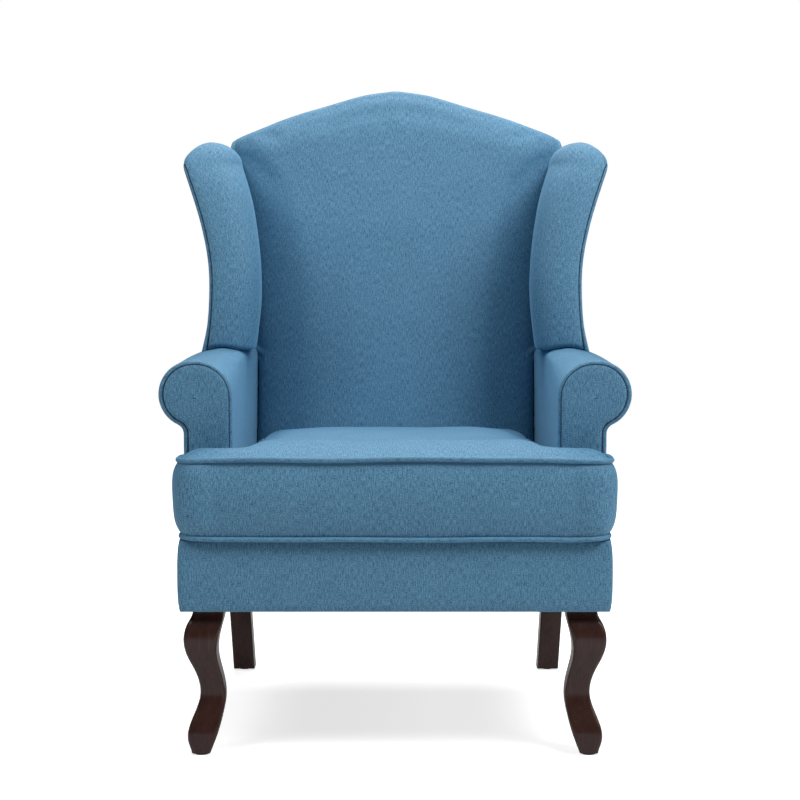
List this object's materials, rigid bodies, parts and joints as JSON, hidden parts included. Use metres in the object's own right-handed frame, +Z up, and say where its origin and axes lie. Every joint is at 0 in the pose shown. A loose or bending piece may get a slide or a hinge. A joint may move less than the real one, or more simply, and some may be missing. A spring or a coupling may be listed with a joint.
{
  "type": "wing armchair",
  "caption": "Upholstered wing armchair with a camel back, rolled arms, a loose T-shaped seat cushion and dark cabriole front legs, on a sprung wooden frame.",
  "frame": {"origin": "on the floor under the middle of the box around the chair", "axes": "+Z up, -Y is the front, so +X is the right-hand side as seen from the front"},
  "size_m": [0.758, 0.762, 1.1125],
  "materials": {
    "blue_fabric": "woven melange, matt",
    "frame_wood": "planed, unfinished",
    "leg_wood": "dark satin lacquer",
    "liner_board": "raw fibreboard",
    "spring_steel": "black oiled wire",
    "clip_steel": "zinc plated",
    "screw_steel": "zinc plated",
    "bolt_steel": "zinc plated",
    "webbing": "woven elastic",
    "deck_cloth": "plain cloth over felt",
    "dust_cloth": "thin nonwoven",
    "glide_plastic": "moulded",
    "foam": "open-cell foam",
    "zip_tape": "woven tape with a coil chain",
    "zip_metal": "cast, nickel plated"
  },
  "bodies": {
    "chair": {"back_rail": "frame_wood", "back_webbing": "webbing", "corner_block_screws": "screw_steel", "corner_blocks": "frame_wood", "crest_rail": "frame_wood", "deck_pad": "deck_cloth", "dust_cover": "dust_cloth", "floor_glides": "glide_plastic", "front_border": "blue_fabric", "front_rail": "frame_wood", "inside_back": "blue_fabric", "left_arm_facing": "blue_fabric", "left_arm_liner": "liner_board", "left_arm_pad": "blue_fabric", "left_arm_rail": "frame_wood", "left_arm_stump": "frame_wood", "left_arm_welt": "blue_fabric", "left_back_post": "frame_wood", "left_front_leg": "leg_wood", "left_outside_arm": "blue_fabric", "left_outside_wing": "blue_fabric", "left_rear_leg": "leg_wood", "left_scroll_board": "frame_wood", "left_side_rail": "frame_wood", "left_wing_board": "frame_wood", "left_wing_pad": "blue_fabric", "left_wing_welt": "blue_fabric", "leg_bolts": "bolt_steel", "leg_nuts": "bolt_steel", "lower_back_rail": "frame_wood", "lumbar_rail": "frame_wood", "outside_back": "blue_fabric", "right_arm_facing": "blue_fabric", "right_arm_liner": "liner_board", "right_arm_pad": "blue_fabric", "right_arm_rail": "frame_wood", "right_arm_stump": "frame_wood", "right_arm_welt": "blue_fabric", "right_back_post": "frame_wood", "right_front_leg": "leg_wood", "right_outside_arm": "blue_fabric", "right_outside_wing": "blue_fabric", "right_rear_leg": "leg_wood", "right_scroll_board": "frame_wood", "right_side_rail": "frame_wood", "right_wing_board": "frame_wood", "right_wing_pad": "blue_fabric", "right_wing_welt": "blue_fabric", "seat_springs": "spring_steel", "spring_clips": "clip_steel", "wing_screws": "screw_steel"},
    "seat_cushion": {"cushion_core": "foam", "cushion_top_panel": "blue_fabric", "cushion_boxing": "blue_fabric", "cushion_bottom_panel": "blue_fabric", "cushion_top_welt": "blue_fabric", "cushion_bottom_welt": "blue_fabric", "cushion_zip": "zip_tape"},
    "zip_slider": {"zip_slider": "zip_metal"}
  },
  "joints": [
    {"name": "cushion_pull", "type": "slide", "parent": "chair", "child": "seat_cushion", "axis": [0, -1, 0], "range_m": [0, 0.56]},
    {"name": "zip_travel", "type": "slide", "parent": "seat_cushion", "child": "zip_slider", "axis": [-1, 0, 0], "range_m": [0, 0.37]}
  ]
}
